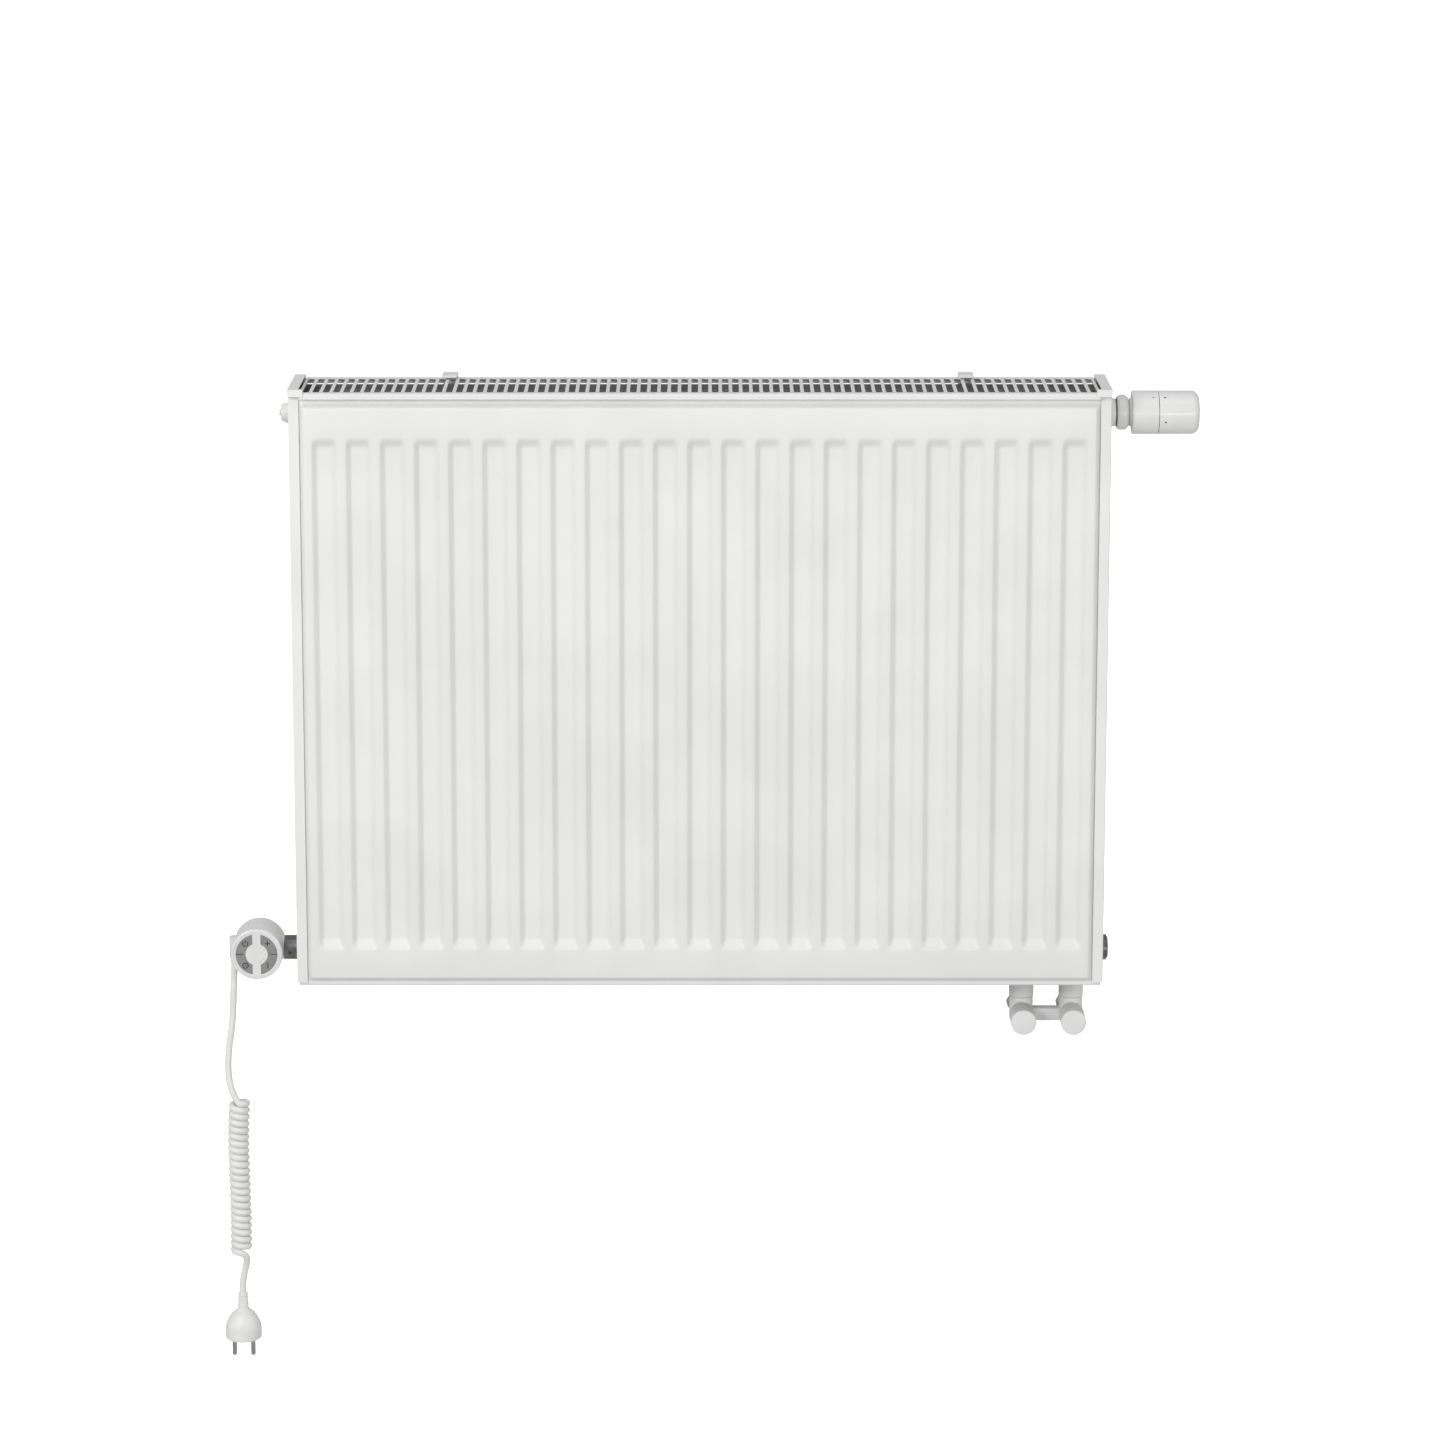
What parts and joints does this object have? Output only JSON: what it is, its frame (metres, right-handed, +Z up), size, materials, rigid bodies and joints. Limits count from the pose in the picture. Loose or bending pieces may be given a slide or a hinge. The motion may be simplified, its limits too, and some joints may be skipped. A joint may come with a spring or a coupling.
{
  "type": "panel radiator with thermostatic valve",
  "caption": "White double-panel steel radiator with top grille, thermostatic head, electric heating element with keypad and curly cord, H-valve and wall brackets.",
  "frame": {"origin": "on the wall plane, at the centre of the four wall-screw holes in the bracket rails", "axes": "+X to the right along the radiator, +Y into the wall, +Z up; the front panel faces -Y"},
  "size_m": [0.9767, 0.1362, 1.0105],
  "materials": {
    "white_powder_coat": "semi-gloss powder coat",
    "grey_primer": "dip primer",
    "white_abs": "moulded, satin",
    "white_pvc": "extruded, satin",
    "grey_silicone": "moulded, matt",
    "dark_nickel": "nickel plated, machined",
    "zinc_steel": "zinc plated",
    "spring_steel": "drawn wire",
    "stainless": "drawn tube",
    "brass": "machined",
    "plain_steel": "pickled tube",
    "black_rubber": "moulded",
    "board_laminate": "solder mask",
    "bellows_metal": "spun",
    "grey_nylon": "moulded"
  },
  "bodies": {
    "radiator": {"front_panel_outer_sheet": "white_powder_coat", "front_panel_inner_sheet": "grey_primer", "rear_panel_inner_sheet": "grey_primer", "rear_panel_outer_sheet": "white_powder_coat", "front_convector": "grey_primer", "rear_convector": "grey_primer", "tee_top_left": "grey_primer", "tee_bottom_left": "grey_primer", "valve_housing": "grey_primer", "connection_block": "grey_primer", "valve_riser_pipe": "plain_steel", "heater_tube": "grey_primer", "top_grille": "white_powder_coat", "side_cover_left": "white_powder_coat", "side_cover_right": "white_powder_coat", "valve_insert_body": "dark_nickel", "valve_rosette": "white_abs", "trv_base_sleeve": "white_abs", "valve_spring": "spring_steel", "vent_plug_body": "dark_nickel", "blanking_plug": "dark_nickel", "plug_seals": "black_rubber", "heater_collar": "dark_nickel", "collar_set_screw": "spring_steel", "heater_rod": "stainless", "head_housing": "white_abs", "cable_gland": "white_pvc", "keypad_plate": "white_abs", "circuit_board": "board_laminate", "h_valve_body": "white_powder_coat", "union_nuts": "white_powder_coat", "pipe_nuts": "zinc_steel", "bracket_rail_left": "white_powder_coat", "bracket_rail_right": "white_powder_coat", "bracket_spring_left": "spring_steel", "bracket_spring_right": "spring_steel", "bracket_feet": "grey_nylon", "cord_lead": "white_pvc", "cord_curl": "white_pvc", "cord_tail": "white_pvc", "plug_body": "white_pvc", "plug_pins": "brass"},
    "knob": {"trv_knob": "white_abs", "trv_overtravel_spring": "spring_steel"},
    "valve_pin": {"trv_sensor_capsule": "bellows_metal", "trv_push_pin": "brass", "valve_spindle": "stainless"},
    "union_nut": {"trv_union_nut": "white_abs"},
    "vent_ring": {"vent_outlet_ring": "white_abs"},
    "vent_screw": {"vent_screw": "white_abs"},
    "timer_key": {"button_timer": "grey_silicone"},
    "power_key": {"button_power": "grey_silicone"},
    "plus_key": {"button_plus": "grey_silicone"},
    "minus_key": {"button_minus": "grey_silicone"},
    "supply_cap": {"valve_cap_supply": "white_abs"},
    "return_cap": {"valve_cap_return": "white_abs"},
    "supply_spindle": {"shutoff_spindle_supply": "brass"},
    "return_spindle": {"shutoff_spindle_return": "brass"},
    "left_catch": {"bracket_catch_left": "white_powder_coat"},
    "right_catch": {"bracket_catch_right": "white_powder_coat"}
  },
  "joints": [
    {"name": "trv_knob_turn", "type": "hinge", "parent": "radiator", "child": "knob", "pos_m": [0.444, -0.085, 0.273], "axis": [1, 0, 0], "range_deg": [-150, 150]},
    {"name": "valve_lift", "type": "slide", "parent": "radiator", "child": "valve_pin", "axis": [1, 0, 0], "range_m": [-0.00101, 0.00101]},
    {"name": "trv_nut_turn", "type": "hinge", "parent": "radiator", "child": "union_nut", "pos_m": [0.408, -0.085, 0.273], "axis": [1, 0, 0], "continuous": true},
    {"name": "vent_ring_turn", "type": "hinge", "parent": "radiator", "child": "vent_ring", "pos_m": [-0.415, -0.085, 0.273], "axis": [-1, 0, 0], "continuous": true},
    {"name": "vent_screw_turn", "type": "hinge", "parent": "radiator", "child": "vent_screw", "pos_m": [-0.415, -0.085, 0.273], "axis": [-1, 0, 0], "range_deg": [0, 360]},
    {"name": "timer_press", "type": "slide", "parent": "radiator", "child": "timer_key", "axis": [0, 1, 0], "range_m": [0, 0.0007], "stiffness_N_per_m": 800, "springref_m": -0.0005},
    {"name": "power_press", "type": "slide", "parent": "radiator", "child": "power_key", "axis": [0, 1, 0], "range_m": [0, 0.0007], "stiffness_N_per_m": 800, "springref_m": -0.0005},
    {"name": "plus_press", "type": "slide", "parent": "radiator", "child": "plus_key", "axis": [0, 1, 0], "range_m": [0, 0.0007], "stiffness_N_per_m": 800, "springref_m": -0.0005},
    {"name": "minus_press", "type": "slide", "parent": "radiator", "child": "minus_key", "axis": [0, 1, 0], "range_m": [0, 0.0007], "stiffness_N_per_m": 800, "springref_m": -0.0005},
    {"name": "supply_cap_turn", "type": "hinge", "parent": "radiator", "child": "supply_cap", "pos_m": [0.316, -0.115, -0.3395], "axis": [0, -1, 0], "continuous": true},
    {"name": "supply_shutoff_turn", "type": "hinge", "parent": "radiator", "child": "supply_spindle", "pos_m": [0.316, -0.1, -0.3395], "axis": [0, -1, 0], "range_deg": [-90, 0]},
    {"name": "return_cap_turn", "type": "hinge", "parent": "radiator", "child": "return_cap", "pos_m": [0.366, -0.115, -0.3395], "axis": [0, -1, 0], "continuous": true},
    {"name": "return_shutoff_turn", "type": "hinge", "parent": "radiator", "child": "return_spindle", "pos_m": [0.366, -0.1, -0.3395], "axis": [0, -1, 0], "range_deg": [-90, 0]},
    {"name": "left_catch_lift", "type": "slide", "parent": "radiator", "child": "left_catch", "axis": [0, 0, 1], "range_m": [0, 0.01], "stiffness_N_per_m": 300, "springref_m": -0.01, "deforming": ["bracket_spring_left"]},
    {"name": "right_catch_lift", "type": "slide", "parent": "radiator", "child": "right_catch", "axis": [0, 0, 1], "range_m": [0, 0.01], "stiffness_N_per_m": 300, "springref_m": -0.01, "deforming": ["bracket_spring_right"]}
  ],
  "couplings": [
    {"joint": "valve_lift", "follows": "trv_knob_turn", "m_per_rad": 0.00038197}
  ]
}
